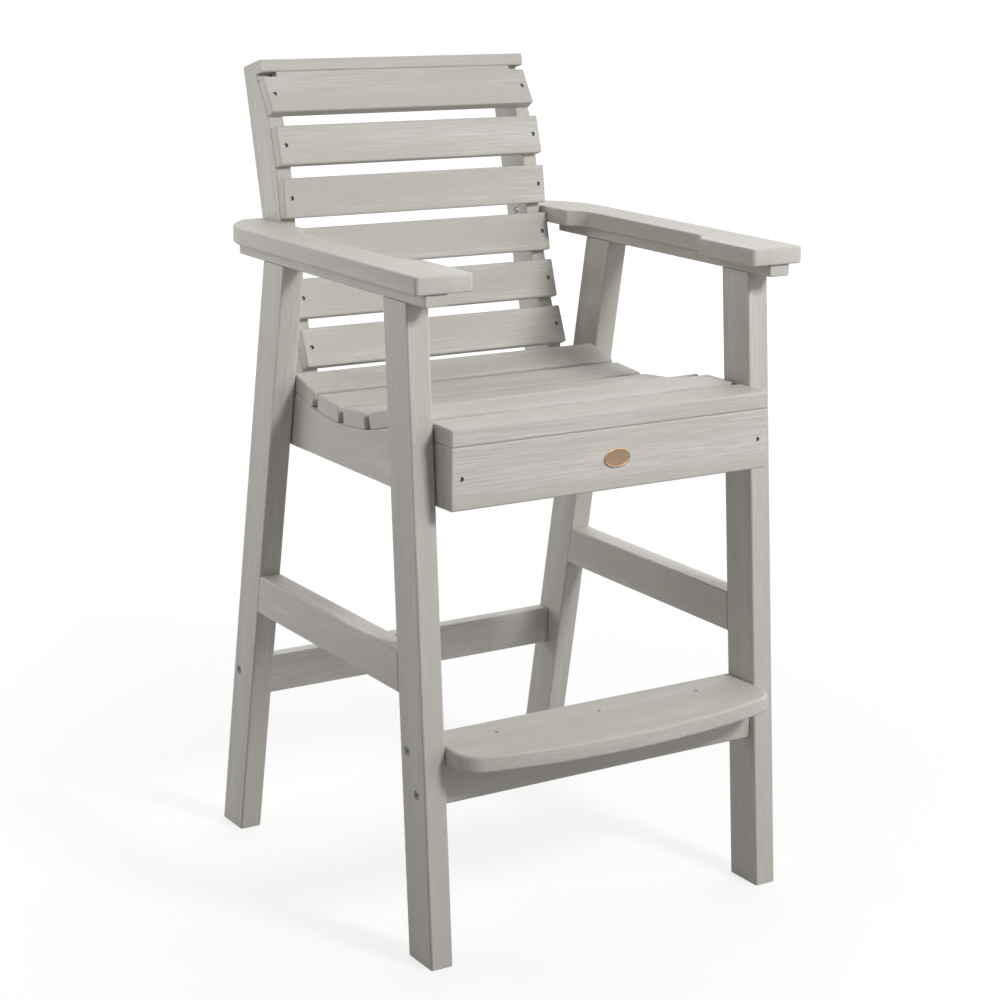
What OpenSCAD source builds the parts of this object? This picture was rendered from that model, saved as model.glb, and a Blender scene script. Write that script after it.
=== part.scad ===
// Bar armchair built from rounded boards: leaning legs, a scooped slatted seat,
// a curved slatted back, flat arms and a bowed footrest. Millimetres.
// The chair faces -Y, X is across, Z is up, and Z = 0 is the floor.

/* [Seat] */
// Height of the front of the seat above the floor
seat_h = 762; // [740:1:790]
// Clear width between the legs
seat_w = 538; // [500:2:580]
// Depth of the seat along its slats, from the apron face to the end of the last slat
seat_d = 456; // [446:1:466]
// Width of a seat slat
slat_w = 64; // [61:0.5:66]
// Width of the front seat slat, which laps the apron
front_slat_w = 64; // [60:0.5:67]
// Thickness of a seat slat
slat_t = 25; // [22:0.5:28]
// Slope of the first and last of the four slats in the scoop, in degrees
scoop_tilt = 15; // [10:0.5:18]
// Height of the apron across the front of the seat
apron_h = 88; // [76:1:100]
// Thickness of the apron
apron_t = 25; // [22:0.5:28]
// Thickness of a seat side rail
rail_t = 36; // [32:0.5:40]
// Distance from the front of the front foot back to the apron face
seat_set = 21.5; // [12:0.5:28]

/* [Back] */
// Lean of the straight rear edge of the back, in degrees
back_lean = 15; // [13:0.5:16.5]
// Width of a back slat
back_slat_w = 60; // [57:0.5:62]
// Thickness of a back slat
back_slat_t = 19; // [16:0.5:22]
// Gap between back slats, measured on the posts
back_gap = 16.7; // [12:0.1:22]
// Lean of the lowest back slat, in degrees
low_lean = 23; // [21:0.5:26]
// Lean of the fourth back slat, where the back is steepest, in degrees
mid_lean = 8.5; // [7:0.5:12]
// Lean of the top back slat, in degrees
top_lean = 33; // [28:0.5:34]
// Thickness of a back post
post_t = 25; // [22:0.5:28]
// Width of a back post below its slats
post_w = 69.5; // [66:0.5:76]
// Distance from the end of the seat back to the lowest back slat
back_set = 31; // [28:0.5:35]
// Rise from the end of the seat up to the lowest back slat
back_rise = 19; // [14:0.5:26]
// Width of the cap board
cap_w = 60; // [56:0.5:64]
// Thickness of the cap board
cap_t = 19; // [16:0.5:22]
// Room between the top back slat and the cap, along the post
cap_gap = 13; // [10:0.5:18]
// Thickness of the upper back rail
upper_rail_t = 19; // [16:0.5:22]
// Distance from the front of the cap back to the upper back rail
upper_rail_set = 3; // [3:0.5:6]
// Height of the rear seat rail
rear_rail_h = 70; // [55:1:85]
// Thickness of the rear seat rail
rear_rail_t = 25; // [20:0.5:30]

/* [Legs] */
// Thickness of a leg
leg_t = 35; // [31:0.5:38]
// Width of a leg
leg_w = 63; // [58:0.5:66]
// Backward lean of the front legs, in degrees
front_lean = 5; // [3:0.5:6]
// Forward lean of the rear legs, in degrees
rear_lean = 9.9; // [8:0.1:11]
// Depth of the chair at the floor, over the feet
foot_span = 657.5; // [640:0.5:670]

/* [Arms] */
// Rise from the front of the seat to the top of the arms
arm_rise = 207; // [190:1:230]
// Width of an arm at its ends
arm_w = 89; // [80:0.5:96]
// Thickness of an arm
arm_t = 25; // [22:0.5:28]
// Overhang of the arm in front of the top of the front leg
arm_over = 55.5; // [45:0.5:65]
// Width of the arm between its wide ends
waist_w = 65; // [58:0.5:72]
// Length of the wide front end
arm_head = 131; // [115:1:145]
// Length of the wide rear end
arm_heel = 131; // [120:1:145]
// Radius of the curved steps to the narrow part
step_r = 46; // [36:0.5:60]
// Radius of the curve at the rear outer corner
heel_r = 130; // [120:1:150]
// Distance from the rear end to where that curve leaves the outer edge
heel_run = 104.5; // [90:0.5:110]
// Radius of the front corners
toe_r = 6; // [4:0.5:12]
// Thickness of the bearer strip under the arm
bearer_t = 18; // [14:0.5:22]
// Length of the bearer strip
bearer_len = 543; // [520:1:560]
// Distance from the front of the arm back to the bearer
bearer_set = 6; // [3:0.5:12]

/* [Footrest] */
// Drop from the front of the seat to the top of the footrest
foot_drop = 447; // [430:1:470]
// Thickness of the footrest board
foot_t = 25; // [22:0.5:28]
// Depth of the footrest at the middle
foot_d = 146.5; // [132:0.5:156]
// How far the bowed front edge falls back at the legs
bow = 34; // [24:1:40]
// Radius of the footrest's front corners
foot_r = 40; // [30:1:46]
// Height of the rail under the footrest
foot_rail_h = 61; // [52:1:68]
// Distance from the front of the legs back to that rail
foot_rail_set = 9.5; // [4:0.5:14]

/* [Stretchers] */
// Height of the top of the side stretchers
side_h = 439.5; // [400:0.5:460]
// Height of the side and rear stretcher boards
stretcher_w = 60; // [50:0.5:66]
// Height of the top of the rear stretcher
rear_h = 286; // [250:1:320]
// Thickness of the rear stretcher and of the footrest rail
stretcher_t = 25; // [22:0.5:28]
// Distance from the back of the rear legs forward to the rear stretcher
rear_set = 7.5; // [3:0.5:12]

/* [Details] */
// Rounding of the long edges of the boards
edge_r = 3; // [2:0.25:4]
// Clearance between the ends of the seat slats and the legs
end_gap = 0.5; // [0.3:0.1:0.9]
// Radius of a bolt's shank
bolt_r = 4; // [3:0.25:5]
// Radius of a bolt's head
head_r = 6.5; // [6:0.25:8]
// Thickness of a bolt's head
head_t = 4; // [3:0.25:5]
// Depth of the recess for a bolt's head
recess = 5; // [4:0.25:7]
// Length of a bolt that goes into the end of a board
bolt_len = 72; // [60:1:80]
// Length of the bolt from the back post into the arm
arm_bolt_len = 58; // [50:1:64]
// Clearance around a bolt's head
head_gap = 0.5; // [0.3:0.1:1]
// Distance from the back of the footrest forward to its bolts
board_bolt_set = 19; // [14:0.5:30]
// Height of the bolts above the bottom of the footrest rail
rail_bolt_rise = 17; // [12:0.5:30]
// Distance from the top of the rear stretcher down to its bolts
rear_bolt_drop = 17; // [12:0.5:30]
// Distance from the rear end of the arm forward to its bolt
arm_bolt_set = 26; // [22:0.5:34]

/* [Hidden] */
$fn = 96;

// Across the chair: inner and outer face of a leg, inner face of a seat rail,
// which the back post and the arm touch, and inner face of a post.
leg_in = seat_w / 2;
leg_out = leg_in + leg_t;
rail_in = leg_in - rail_t;
post_in = rail_in - post_t;

// Heights: top and underside of the arm, top of the legs, underside of the seat
// box and top of the footrest.
arm_h = seat_h + arm_rise;
arm_low = arm_h - arm_t;
leg_top = arm_low - bearer_t;
box_low = seat_h - slat_t - apron_h;
foot_h = seat_h - foot_drop;

// Level width of a leg, and the level run of its edges for a rise.
front_foot = leg_w / cos(front_lean);
rear_foot = leg_w / cos(rear_lean);
function front_run(z) = z * tan(front_lean);
function rear_run(z) = foot_span - z * tan(rear_lean);

// Directions in a side view, as [y, z]: down(a) runs rearward and a degrees down
// from level, and up(a) is square to it.
function down(a) = [cos(a), -sin(a)];
function up(a) = [sin(a), cos(a)];

// Seat path, as [y, z] points on the top edge of the side rails. A slat lies on
// each flat of the path, and equal gaps fill the depth of the seat.
slats = 6;
function seat_tilt(i) = i < 2 ? 0 : scoop_tilt * (1 - 2 * (i - 2) / 3);
function seat_width(i) = i == 0 ? front_slat_w : slat_w;
function mean_tilt(i) = (seat_tilt(i) + seat_tilt(i + 1)) / 2;
function total(v, i = 0) = i < len(v) ? v[i] + total(v, i + 1) : 0;
seat_wood = total([for (i = [0 : slats - 1]) seat_width(i) * cos(seat_tilt(i))]);
seat_runs = total([for (i = [0 : slats - 2]) cos(mean_tilt(i))]);
seat_gap = (seat_d - seat_wood) / seat_runs;
function seat_end(i) = seat_at(i) + seat_width(i) * down(seat_tilt(i));
function seat_at(i) = i == 0
    ? [seat_set, seat_h - slat_t]
    : seat_end(i - 1) + seat_gap * down(mean_tilt(i - 1));

// Rear edge of the back: a straight line up from the foot of the posts.
back_start = seat_end(slats - 1) + [back_set, back_rise];
heel = back_start + post_w * down(back_lean);
function back_line(z) = heel[0] + (z - heel[1]) * tan(back_lean);

// Back path, as [y, z] points on the front edge of the posts, with a slat on each flat.
function lean(i) = i < 4
    ? low_lean + (mid_lean - low_lean) * i / 3
    : mid_lean + (top_lean - mid_lean) * pow((i - 3) / 2, 1.5);
function mean_lean(i) = (lean(i) + lean(i + 1)) / 2;
function back_end(i) = back_at(i) + back_slat_w * up(lean(i));
function back_at(i) = i == 0 ? back_start : back_end(i - 1) + back_gap * up(mean_lean(i - 1));

// The cap lies square to the rear edge, over the tips of the posts.
post_tip = back_end(slats - 1) + cap_gap * up(top_lean);
cap_at = heel + (post_tip - heel) * up(back_lean) * up(back_lean);

// Arm from its front end to the rear edge of the back post.
arm_front = front_run(leg_top) - arm_over;
arm_rear = back_line(arm_low);
bearer_front = arm_front + bearer_set;

// Footrest, flush with the back of the front legs at half its thickness.
foot_rear = front_run(foot_h - foot_t / 2) + front_foot;
foot_front = foot_rear - foot_d;
bow_r = (leg_in * leg_in + bow * bow) / (2 * bow);
foot_rail_top = foot_h - foot_t;
foot_rail_front = front_run(foot_rail_top - foot_rail_h / 2) + foot_rail_set;
stretcher_rear = rear_run(rear_h - stretcher_w / 2) - rear_set;

// Bolt centres, as [y, z]: end of the footrest board, end of its rail, end of the
// rear stretcher, and middle of the post at the arm.
board_bolt = [foot_rear - board_bolt_set, foot_h - foot_t / 2];
rail_bolt = [foot_rail_front + stretcher_t / 2, foot_rail_top - foot_rail_h + rail_bolt_rise];
stretcher_bolt = [stretcher_rear - stretcher_t / 2, rear_h - rear_bolt_drop];
arm_bolt = [arm_rear - arm_bolt_set, arm_h - arm_t / 2];

// The middle of the chair's depth is put over Y = 0.
mid_y = (foot_front + cap_at[0] + cap_t * sin(back_lean)) / 2;

// Puts a piece drawn for the right side on the side asked for, -1 left or 1 right.
module on_side(side) {
    translate([0, -mid_y, 0])
        if (side > 0)
            children();
        else
            mirror([1, 0, 0])
                children();
}

// Section of a board, w by h and centred, with rounded corners.
module section(w, h) {
    square([w - 2 * edge_r, h], center = true);
    square([w, h - 2 * edge_r], center = true);
    for (x = [-1, 1], y = [-1, 1])
        translate([x * (w / 2 - edge_r), y * (h / 2 - edge_r)])
            circle(r = edge_r);
}

// Extrudes a [y, z] outline across the chair, from x0 to x1.
module across(x0, x1) {
    translate([x0, 0, 0])
        rotate([90, 0, 90])
            linear_extrude(x1 - x0)
                children();
}

// Rounded board across the chair. Its section is w by t, at a [y, z] centre,
// with the width turned a degrees down from level toward the rear.
module cross_board(at, a, w, t, half) {
    translate([0, -mid_y, 0])
        across(-half, half)
            translate(at)
                rotate(-a)
                    section(w, t);
}

// Round hole along X through the [y, z] point, from x0 to x1.
module hole(at, r, x0, x1) {
    translate([x0, at[0], at[1]])
        rotate([0, 90, 0])
            cylinder(r = r, h = x1 - x0);
}

// Recess and shank hole for a bolt put in from the outer face of a leg.
module leg_hole(at) {
    hole(at, head_r + head_gap, leg_out - recess, leg_out + 1);
    hole(at, bolt_r, leg_in - 1, leg_out);
}

// Hole in both ends of a board for the shanks of its bolts.
module end_holes(at) {
    for (side = [-1, 1])
        on_side(side)
            hole(at, bolt_r, leg_out - recess - bolt_len, leg_in + 1);
}

// Bolt along X with a socket in its round head. The head's face is at x, and the
// shank runs inward for side 1 and outward for side -1.
module bolt(at, x, side, length) {
    translate([x, at[0], at[1]])
        rotate([0, -90 * side, 0])
            difference() {
                union() {
                    cylinder(r = head_r, h = head_t);
                    cylinder(r = bolt_r, h = head_t + length);
                }
                translate([0, 0, -1])
                    cylinder(r = bolt_r * 0.7, h = head_t * 0.6 + 1, $fn = 6);
            }
}

// Leaning leg board with level ends. foot is the middle of the foot.
module leg(foot, a) {
    intersection() {
        translate([(leg_in + leg_out) / 2, foot, 0])
            rotate([-a, 0, 0])
                translate([0, 0, -leg_w])
                    linear_extrude(leg_top / cos(a) + 2 * leg_w)
                        section(leg_t, leg_w);
        translate([0, -foot_span, 0])
            cube([2 * leg_out, 3 * foot_span, leg_top]);
    }
}

// Front leg, with holes for the bolts of the footrest board and its rail.
module front_leg(side) {
    color([0.74, 0.72, 0.69])
        on_side(side)
            difference() {
                leg(front_foot / 2, front_lean);
                leg_hole(board_bolt);
                leg_hole(rail_bolt);
            }
}

// Rear leg, with a hole for the bolt of the rear stretcher.
module rear_leg(side) {
    color([0.74, 0.72, 0.69])
        on_side(side)
            difference() {
                leg(foot_span - rear_foot / 2, -rear_lean);
                leg_hole(stretcher_bolt);
            }
}

// Side stretcher, its ends cut to the lean of the legs that it butts against.
module side_stretcher(side) {
    low = side_h - stretcher_w;
    color([0.72, 0.70, 0.67])
        on_side(side)
            intersection() {
                translate([(leg_in + leg_out) / 2, foot_span, side_h - stretcher_w / 2])
                    rotate([90, 0, 0])
                        linear_extrude(foot_span)
                            section(leg_t, stretcher_w);
                across(leg_in - 1, leg_out + 1)
                    polygon([
                        [front_run(low) + front_foot, low],
                        [front_run(side_h) + front_foot, side_h],
                        [rear_run(side_h) - rear_foot, side_h],
                        [rear_run(low) - rear_foot, low]
                    ]);
            }
}

// Rear stretcher between the inner faces of the rear legs.
module rear_stretcher() {
    color([0.72, 0.70, 0.67])
        difference() {
            cross_board([stretcher_rear - stretcher_t / 2, rear_h - stretcher_w / 2],
                90, stretcher_w, stretcher_t, leg_in);
            end_holes(stretcher_bolt);
        }
}

// Upright rail that carries the footrest between the front legs.
module footrest_rail() {
    color([0.72, 0.70, 0.67])
        difference() {
            cross_board([foot_rail_front + stretcher_t / 2, foot_rail_top - foot_rail_h / 2],
                90, foot_rail_h, stretcher_t, leg_in);
            end_holes(rail_bolt);
        }
}

// Plan of the footrest: a bowed front edge that runs into round front corners. The
// corner circles cross the bow by a hair, so that the arcs meet at clear points.
module footrest_plan() {
    hair = 0.05;
    bow_y = foot_front + bow_r;
    corner_x = leg_in - foot_r;
    corner_y = bow_y - sqrt(pow(bow_r - foot_r + hair, 2) - corner_x * corner_x);
    touch_x = corner_x * bow_r / (bow_r - foot_r);
    intersection() {
        translate([0, bow_y])
            circle(r = bow_r, $fn = 360);
        translate([-touch_x, foot_front - 1])
            square([2 * touch_x, foot_d + 1]);
    }
    translate([-leg_in, corner_y])
        square([2 * leg_in, foot_rear - corner_y]);
    for (x = [-corner_x, corner_x])
        translate([x, corner_y])
            circle(r = foot_r);
}

// Footrest board on its rail.
module footrest_board() {
    color([0.78, 0.76, 0.73])
        difference() {
            translate([0, -mid_y, foot_h - foot_t])
                linear_extrude(foot_t)
                    footrest_plan();
            end_holes(board_bolt);
        }
}

// Bearer strip that ties the tops of the two legs of a side under the arm.
module arm_bearer(side) {
    color([0.72, 0.70, 0.67])
        on_side(side)
            translate([(leg_in + leg_out) / 2, bearer_front + bearer_len, arm_low - bearer_t / 2])
                rotate([90, 0, 0])
                    linear_extrude(bearer_len)
                        section(leg_t, bearer_t);
}

// Plan of the right arm: round front corners, a long curve at the rear outer corner,
// and a relief with curved ends on the inner edge between the two wide ends.
module arm_plan() {
    outer = rail_in + arm_w;
    inner = outer - waist_w;
    step = sqrt(pow(step_r, 2) - pow(step_r - (inner - rail_in), 2));
    relief_front = arm_front + arm_head + step;
    relief_rear = arm_rear - arm_heel - step;
    difference() {
        union() {
            translate([rail_in, arm_front + toe_r])
                square([arm_w, arm_rear - heel_run - arm_front - toe_r]);
            translate([rail_in + toe_r, arm_front])
                square([arm_w - 2 * toe_r, 2 * toe_r]);
            for (x = [rail_in + toe_r, outer - toe_r])
                translate([x, arm_front + toe_r])
                    circle(r = toe_r);
            intersection() {
                translate([outer - heel_r, arm_rear - heel_run])
                    circle(r = heel_r);
                translate([rail_in, arm_rear - heel_run - 1])
                    square([arm_w, heel_run + 1]);
            }
        }
        for (y = [relief_front, relief_rear])
            translate([inner - step_r, y])
                circle(r = step_r);
        translate([inner - 2 * step_r, relief_front])
            square([2 * step_r, relief_rear - relief_front]);
    }
}

// Arm board, its long edges rounded, with the hole for the bolt from the post.
module arm(side) {
    color([0.80, 0.78, 0.75])
        on_side(side)
            difference() {
                intersection() {
                    translate([0, 0, arm_low])
                        linear_extrude(arm_t)
                            arm_plan();
                    translate([rail_in + arm_w / 2, arm_rear + 1, arm_low + arm_t / 2])
                        rotate([90, 0, 0])
                            linear_extrude(arm_rear - arm_front + 2)
                                section(arm_w, arm_t);
                }
                hole(arm_bolt, bolt_r, rail_in - 1, post_in + recess + arm_bolt_len);
            }
}

// Side rail of the seat. Its top edge is scooped, with a flat for each slat.
module seat_rail(side) {
    color([0.72, 0.70, 0.67])
        on_side(side)
            across(rail_in, leg_in)
                polygon(concat(
                    [[seat_set + apron_t, box_low], [seat_set + apron_t, seat_h - slat_t]],
                    [seat_end(0)],
                    [for (i = [1 : slats - 1]) each [seat_at(i), seat_end(i)]],
                    [[back_line(seat_end(slats - 1)[1]), seat_end(slats - 1)[1]]],
                    [[back_line(box_low), box_low]]
                ));
}

// Apron across the front ends of the side rails, under the front slat.
module front_apron() {
    color([0.78, 0.76, 0.73])
        cross_board([seat_set + apron_t / 2, box_low + apron_h / 2],
            90, apron_h, apron_t, leg_in - end_gap);
}

// Cross rail between the feet of the back posts, flush with their rear edges.
module rear_seat_rail() {
    low = (heel[1] - box_low) / cos(back_lean);
    color([0.70, 0.68, 0.65])
        cross_board(
            heel - (low - rear_rail_h / 2) * up(back_lean) - rear_rail_t / 2 * down(back_lean),
            back_lean + 90, rear_rail_h, rear_rail_t, post_in);
}

// Seat slat, counted from the front and seated on its flat of the side rails.
module seat_slat(i) {
    a = seat_tilt(i);
    color([0.78, 0.76, 0.73])
        cross_board(
            seat_at(i) + seat_width(i) / 2 * down(a) + slat_t / 2 * up(a),
            a, seat_width(i), slat_t, leg_in - end_gap);
}

// Back post with a straight rear edge. Its curved front edge has a flat for each slat.
module back_post(side) {
    color([0.72, 0.70, 0.67])
        on_side(side)
            difference() {
                across(post_in, rail_in)
                    polygon(concat(
                        [[back_line(box_low), box_low]],
                        [back_start - (back_start[1] - box_low) * [tan(back_lean), 1]],
                        [for (i = [0 : slats - 1]) each [back_at(i), back_end(i)]],
                        [post_tip, cap_at]
                    ));
                hole(arm_bolt, head_r + head_gap, post_in - 1, post_in + recess);
                hole(arm_bolt, bolt_r, post_in, rail_in + 1);
            }
}

// Back slat, counted from the lowest up, on the front edges of the posts.
module back_slat(i) {
    a = lean(i);
    color([0.78, 0.76, 0.73])
        cross_board(
            back_at(i) + back_slat_w / 2 * up(a) - back_slat_t / 2 * down(a),
            a - 90, back_slat_w, back_slat_t, rail_in);
}

// Flat rail under the cap, between the posts. Its front is bevelled to sit on the top
// slat, so that it closes the gap under the cap.
module upper_back_rail() {
    color([0.70, 0.68, 0.65])
        translate([0, -mid_y, 0])
            across(-post_in, post_in)
                intersection() {
                    translate(cap_at)
                        rotate(-back_lean)
                            translate([upper_rail_set - cap_w, -upper_rail_t])
                                square([cap_w - upper_rail_set, upper_rail_t]);
                    translate(back_end(slats - 1))
                        rotate(-top_lean)
                            translate([-cap_w, 0])
                                square(2 * cap_w);
                }
}

// Cap board on the tops of the posts, flush with their rear edges.
module back_cap() {
    color([0.80, 0.78, 0.75])
        cross_board(
            cap_at + cap_t / 2 * up(back_lean) - cap_w / 2 * down(back_lean),
            back_lean, cap_w, cap_t, rail_in);
}

// Bolts through the legs: footrest board, its rail and the rear stretcher, each side.
module leg_bolts() {
    color([0.55, 0.55, 0.56])
        for (side = [-1, 1], at = [board_bolt, rail_bolt, stretcher_bolt])
            on_side(side)
                bolt(at, leg_out - recess + head_t, 1, bolt_len);
}

// Bolts from the inner faces of the posts into the edges of the arms.
module arm_bolts() {
    color([0.55, 0.55, 0.56])
        for (side = [-1, 1])
            on_side(side)
                bolt(arm_bolt, post_in + recess - head_t, -1, arm_bolt_len);
}

front_leg(-1);  // front_leg_left
front_leg(1);  // front_leg_right
rear_leg(-1);  // rear_leg_left
rear_leg(1);  // rear_leg_right
side_stretcher(-1);  // side_stretcher_left
side_stretcher(1);  // side_stretcher_right
rear_stretcher();
footrest_rail();
footrest_board();
arm_bearer(-1);  // arm_bearer_left
arm_bearer(1);  // arm_bearer_right
arm(-1);  // arm_left
arm(1);  // arm_right
seat_rail(-1);  // seat_rail_left
seat_rail(1);  // seat_rail_right
front_apron();
rear_seat_rail();
for (i = [0 : slats - 1])
    seat_slat(i);
back_post(-1);  // back_post_left
back_post(1);  // back_post_right
for (i = [0 : slats - 1])
    back_slat(i);
upper_back_rail();
back_cap();
leg_bolts();
arm_bolts();
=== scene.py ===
from math import cos, pi, radians, sin, sqrt, tan

import bmesh
import bpy
from mathutils import Matrix, Vector


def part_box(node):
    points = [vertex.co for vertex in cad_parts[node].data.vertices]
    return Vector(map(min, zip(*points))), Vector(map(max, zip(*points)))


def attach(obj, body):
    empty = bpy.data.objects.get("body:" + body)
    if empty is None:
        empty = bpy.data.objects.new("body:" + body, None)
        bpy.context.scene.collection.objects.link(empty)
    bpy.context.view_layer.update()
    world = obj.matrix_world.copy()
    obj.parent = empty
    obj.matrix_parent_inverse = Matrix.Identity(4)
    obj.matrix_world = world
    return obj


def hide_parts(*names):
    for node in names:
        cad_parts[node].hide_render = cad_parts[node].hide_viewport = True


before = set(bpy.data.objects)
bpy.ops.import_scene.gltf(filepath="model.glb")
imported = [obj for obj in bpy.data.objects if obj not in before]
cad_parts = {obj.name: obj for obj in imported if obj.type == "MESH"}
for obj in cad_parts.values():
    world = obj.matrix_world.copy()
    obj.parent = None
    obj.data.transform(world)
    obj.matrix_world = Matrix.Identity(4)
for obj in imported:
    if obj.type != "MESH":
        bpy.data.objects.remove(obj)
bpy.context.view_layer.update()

# Front legs: boards of grey plastic lumber, through-coloured, with a brushed grain pressed
# into the faces and soft long edges. They lean back 5 degrees, are sawn level at the floor
# and under the arms, and are bored for the bolts of the footrest.
leg_in, leg_out, leg_w, leg_top = 269, 304, 63, 926
front_lean = 5
front_foot = leg_w / cos(radians(front_lean))
footrest_bolts = [Vector((leg_out, 70.7, 302.5)), Vector((leg_out, 44.7, 246))]
bolt_seat_r, bolt_seat_depth = 7, 5
foot_eased = 1.2
lumber_tones = ((0.30, (0.522, 0.497, 0.455)), (0.50, (0.550, 0.526, 0.482)), (1.0, (1, 1, 1)))
pore_tone, sawn_tone = (0.36, 0.34, 0.30), (0.53, 0.508, 0.465)

# Sizes are millimetres behind the toes of the front legs, which the frame gives in metres.
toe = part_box("front_leg_left")[0][1]

# Directions agree above the first of these, and points below the second.
same_way, same_place = 0.999, 0.01


def down(a):
    """Toward the rear, a degrees below level."""
    return Vector((0, cos(radians(a)), -sin(radians(a))))


def up(a):
    """Upward, leaning a degrees to the rear."""
    return Vector((0, sin(radians(a)), cos(radians(a))))


def soften(bm, edges, radius, steps):
    """Rounds edges over."""
    made = bmesh.ops.bevel(bm, geom=edges, offset=radius, offset_type="OFFSET", segments=steps,
                           profile=0.5, affect="EDGES", material=-1, clamp_overlap=True)
    for face in made["faces"]:
        face.smooth = True
    bm.normal_update()


def lies_in(face, point, out):
    """Whether a face lies in the plane through a point and looks out."""
    height = (face.verts[0].co - point).dot(out)
    return face.normal.dot(out) > same_way and abs(height) < same_place


def mark_sawn(bm, point, normal):
    """Marks a sawn end, which is smoother and evener in tone than a pressed face."""
    sawn = bm.faces.layers.float.get("sawn") or bm.faces.layers.float.new("sawn")
    for face in bm.faces:
        if lies_in(face, point, normal):
            face[sawn] = 1.0


def edges_of_ends(bm, axis):
    """The edges of the faces that look along an axis."""
    return [e for e in bm.edges
            if any(abs(getattr(f.normal, axis)) > same_way for f in e.link_faces)]


def plank(length, width, thick, soft=3.0, eased=2.4):
    """Lies flat about the origin: length along X, width along Y."""
    bm = bmesh.new()
    bmesh.ops.create_cube(bm, size=1)
    bmesh.ops.scale(bm, vec=(length, width, thick), verts=bm.verts)
    soften(bm, [e for e in bm.edges if e.verts[0].co.x != e.verts[1].co.x], soft, 4)
    soften(bm, edges_of_ends(bm, "x"), eased, 3)
    for side in (-1, 1):
        mark_sawn(bm, Vector((side * length / 2, 0, 0)), Vector((side, 0, 0)))
    return bm


def verts_of(made):
    return [v for v in made if isinstance(v, bmesh.types.BMVert)]


def edges_of(made):
    return [e for e in made if isinstance(e, bmesh.types.BMEdge)]


def saw(bm, point, normal, eased=0.8):
    """Saws off what stands beyond a plane and eases the new edge."""
    made = bmesh.ops.bisect_plane(bm, geom=bm.verts[:] + bm.edges[:] + bm.faces[:],
                                  plane_co=point, plane_no=normal, clear_outer=True)
    rim = edges_of(made["geom_cut"])
    bmesh.ops.contextual_create(bm, geom=rim)
    bmesh.ops.recalc_face_normals(bm, faces=bm.faces)
    soften(bm, rim, eased, 2)
    mark_sawn(bm, point, normal)


def face_at(bm, point, out):
    """The flat face that looks out and has the point inside its rim."""
    bm.normal_update()
    for face in bm.faces:
        if lies_in(face, point, out) and all(
                (c.link_loop_next.vert.co - c.vert.co).cross(point - c.vert.co).dot(out) > 0
                for c in face.loops):
            return face


def edges_round(ring):
    """The edges that join the points of a ring, in order."""
    return list(dict.fromkeys(e for v in ring for e in v.link_edges))


def bore(bm, point, out, radius, depth):
    """Bores a round recess into the flat face that holds the point and faces out."""
    sides, margin = 24, 2
    side = out.orthogonal().normalized()
    for way in (side, -side, out.cross(side), side.cross(out)):
        face = face_at(bm, point, out)
        bmesh.ops.bisect_plane(bm, geom=[face] + face.edges[:] + face.verts[:],
                               plane_co=point + way * (radius + margin), plane_no=way)
    face = face_at(bm, point, out)
    frame_edges = face.edges[:]
    bmesh.ops.delete(bm, geom=[face], context="FACES_ONLY")
    bmesh.ops.subdivide_edges(bm, edges=frame_edges, cuts=sides // 4 - 1)
    rim = [e for e in bm.edges if e.is_boundary]
    turn = out.to_track_quat("Z", "Y").to_matrix().to_4x4()
    seat = Matrix.Translation(point - out * same_place) @ turn
    ring = bmesh.ops.create_circle(bm, segments=sides, radius=radius, matrix=seat)["verts"]
    mouth = edges_round(ring)
    bmesh.ops.bridge_loops(bm, edges=rim + mouth)
    wall = bmesh.ops.extrude_edge_only(bm, edges=mouth)["geom"]
    bmesh.ops.translate(bm, vec=-out * depth, verts=verts_of(wall))
    bmesh.ops.contextual_create(bm, geom=edges_of(wall))
    bmesh.ops.recalc_face_normals(bm, faces=bm.faces)


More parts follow.
